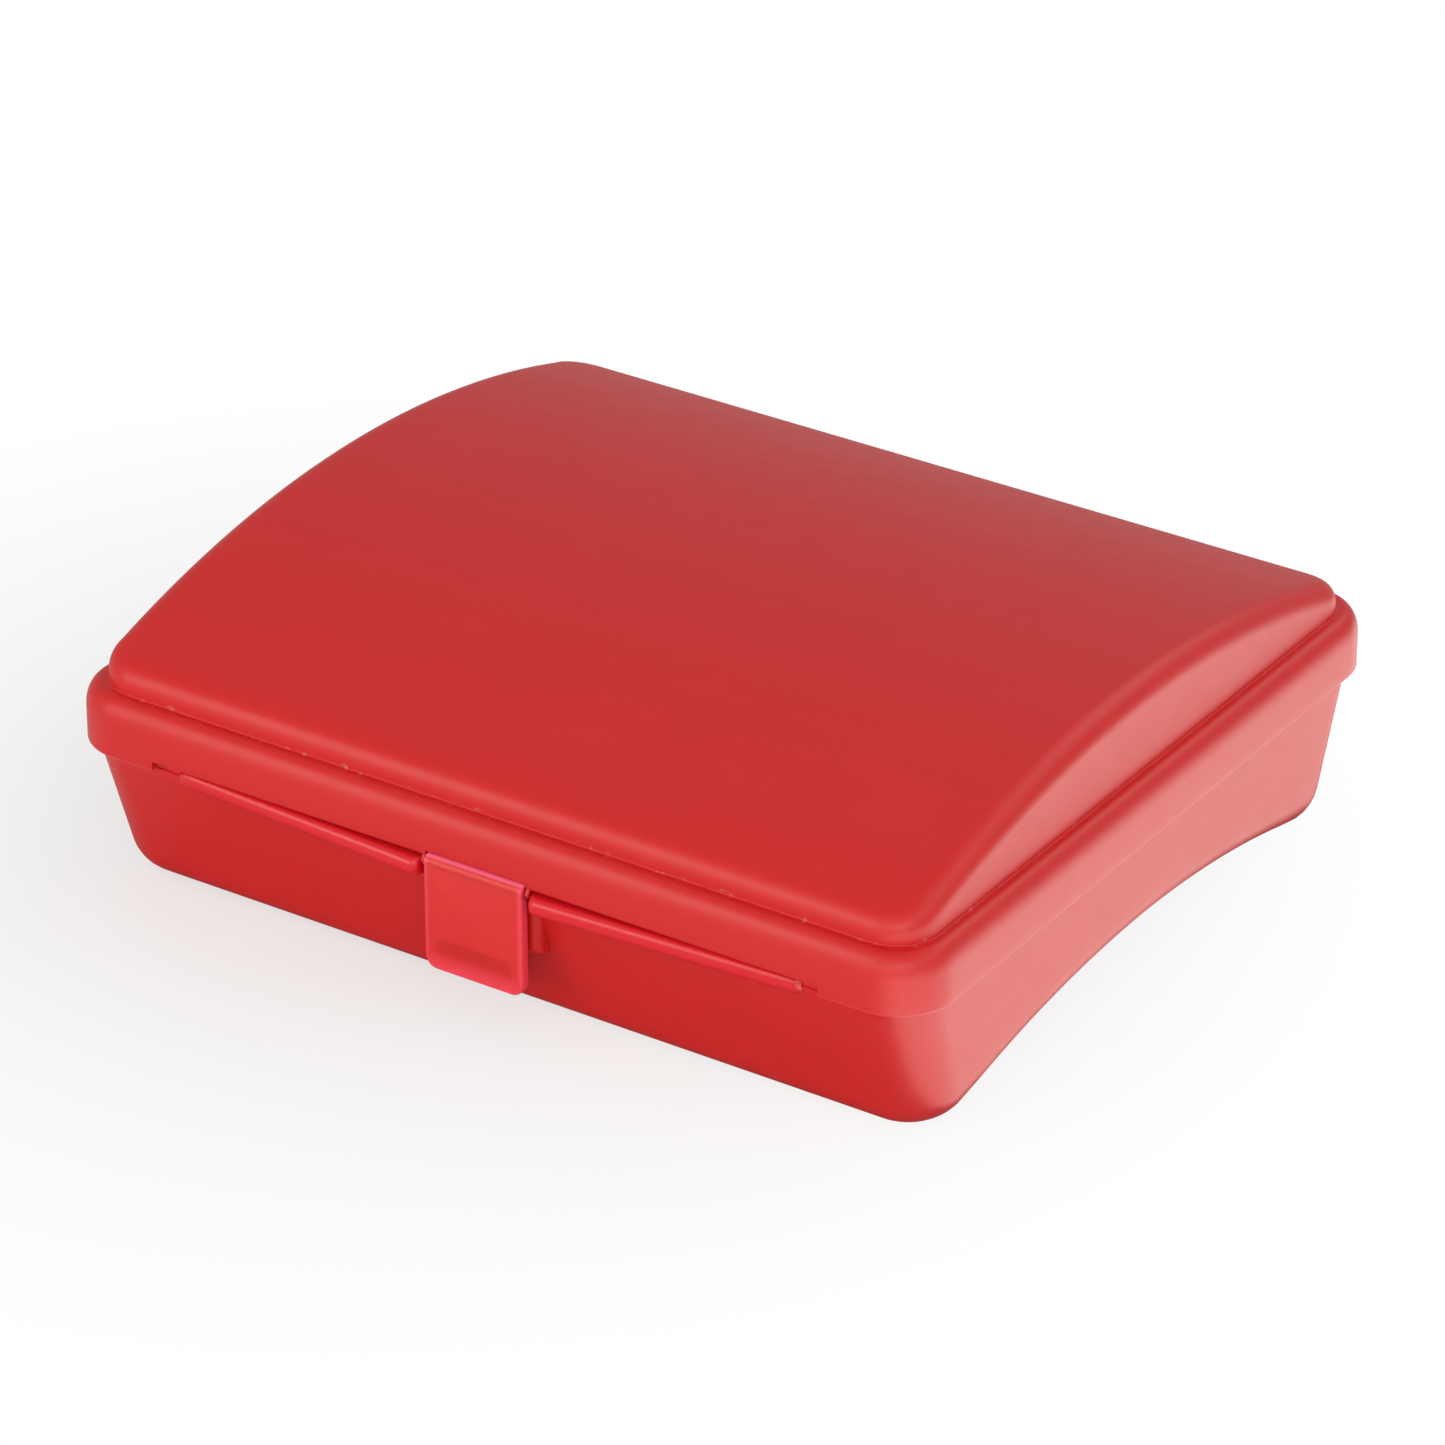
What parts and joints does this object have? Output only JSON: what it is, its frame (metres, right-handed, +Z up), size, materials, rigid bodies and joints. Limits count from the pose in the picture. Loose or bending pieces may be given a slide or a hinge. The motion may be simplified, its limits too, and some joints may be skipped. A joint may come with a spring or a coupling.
{
  "type": "hinged lunch box",
  "caption": "Flat moulded plastic lunch box with a barrel-vaulted hinged lid, a matching arch under the base for stacking and a thin front latch plate.",
  "frame": {"origin": "on the floor under the middle of the whole closed box", "axes": "+Z up, +X along the front to the right as seen from the front, front with the latch towards -Y"},
  "size_m": [0.17, 0.1552, 0.054],
  "materials": {
    "base_plastic": "fine matt moulded polypropylene, red",
    "lid_plastic": "fine matt moulded polypropylene, red, slightly translucent",
    "latch_plastic": "smooth thin polypropylene, red, translucent at its edges"
  },
  "bodies": {
    "base": {"base": "base_plastic", "ledge_left": "base_plastic", "ledge_right": "base_plastic"},
    "lid": {"lid": "lid_plastic"},
    "latch": {"latch": "latch_plastic"}
  },
  "joints": [
    {"name": "lid_hinge", "type": "hinge", "parent": "base", "child": "lid", "pos_m": [0, 0.07495, 0.0252], "axis": [-1, 0, 0], "range_deg": [0, 120]},
    {"name": "latch_hinge", "type": "hinge", "parent": "lid", "child": "latch", "pos_m": [0, -0.07585, 0.0282], "axis": [-1, 0, 0], "range_deg": [0, 110]}
  ]
}
